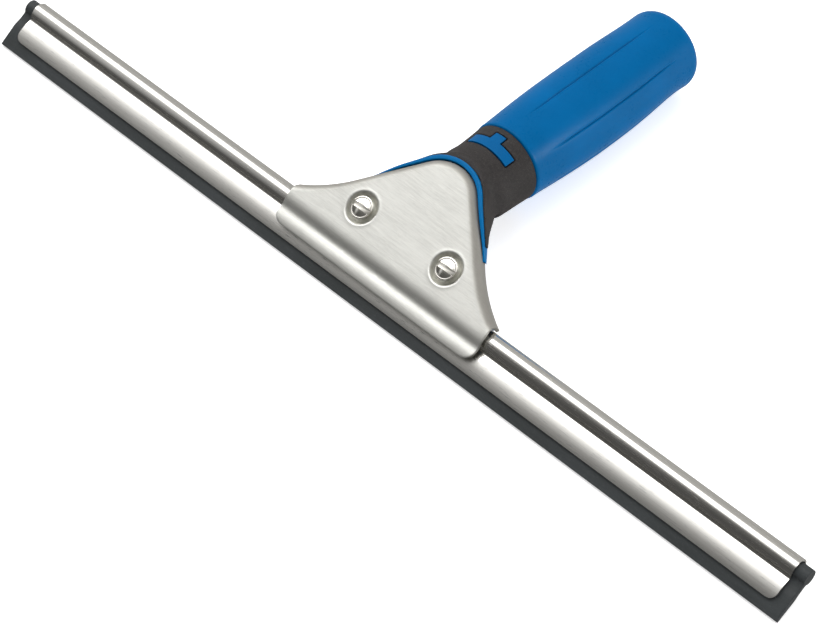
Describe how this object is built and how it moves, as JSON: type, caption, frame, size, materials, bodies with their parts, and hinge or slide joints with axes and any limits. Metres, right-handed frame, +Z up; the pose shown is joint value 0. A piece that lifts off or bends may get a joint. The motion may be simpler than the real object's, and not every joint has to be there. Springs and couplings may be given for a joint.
{
  "type": "window squeegee",
  "caption": "Hand window squeegee: rubber blade in a sliding sheet channel, clamped by two stamped jaws on an angled soft-grip handle with a pole socket.",
  "frame": {"origin": "middle of the footprint on the floor, with the tool lying screw side up on its rubber lip and the underside of its grip", "axes": "+X along the blade, +Y from the rubber lip toward the handle end, +Z up"},
  "size_m": [0.359, 0.1592, 0.036],
  "materials": {
    "blade_rubber": "moulded natural rubber, satin",
    "channel_steel": "polished stainless sheet",
    "front_steel": "stainless sheet brushed along the blade",
    "rear_steel": "stainless sheet, mill finish",
    "screw_nickel": "bright nickel plated steel",
    "nut_steel": "zinc plated steel",
    "core_blue": "moulded blue plastic, semi-gloss",
    "neck_grey": "dark grey soft overmould, fine matt grain",
    "inlay_blue": "moulded blue plastic, semi-gloss",
    "grip_blue": "blue soft-touch elastomer"
  },
  "bodies": {
    "handle": {"handle_core": "core_blue", "neck_overmould": "neck_grey", "neck_inlay": "inlay_blue", "grip_sleeve": "grip_blue", "rear_jaw": "rear_steel", "left_clamp_nut": "nut_steel", "right_clamp_nut": "nut_steel"},
    "front_jaw": {"front_jaw": "front_steel"},
    "left_screw": {"left_clamp_screw": "screw_nickel"},
    "right_screw": {"right_clamp_screw": "screw_nickel"},
    "channel": {"blade_channel": "channel_steel"},
    "rubber": {"rubber_blade": "blade_rubber"}
  },
  "joints": [
    {"name": "jaw_open", "type": "slide", "parent": "handle", "child": "front_jaw", "axis": [0, -0.5124, 0.8588], "range_m": [0, 0.0024]},
    {"name": "left_screw_turn", "type": "hinge", "parent": "front_jaw", "child": "left_screw", "pos_m": [-0.0194, -0.055, 0.01517], "axis": [0, -0.5124, 0.8588], "range_deg": [0, 1081]},
    {"name": "right_screw_turn", "type": "hinge", "parent": "front_jaw", "child": "right_screw", "pos_m": [0.0194, -0.055, 0.01517], "axis": [0, -0.5124, 0.8588], "range_deg": [0, 1081]},
    {"name": "channel_slide", "type": "slide", "parent": "handle", "child": "channel", "axis": [1, 0, 0], "range_m": [-0.13, 0.13]},
    {"name": "rubber_slide", "type": "slide", "parent": "channel", "child": "rubber", "axis": [1, 0, 0], "range_m": [-0.3, 0.3]}
  ],
  "couplings": [
    {"joint": "left_screw_turn", "follows": "jaw_open", "rad_per_m": 7854},
    {"joint": "right_screw_turn", "follows": "jaw_open", "rad_per_m": 7854}
  ]
}
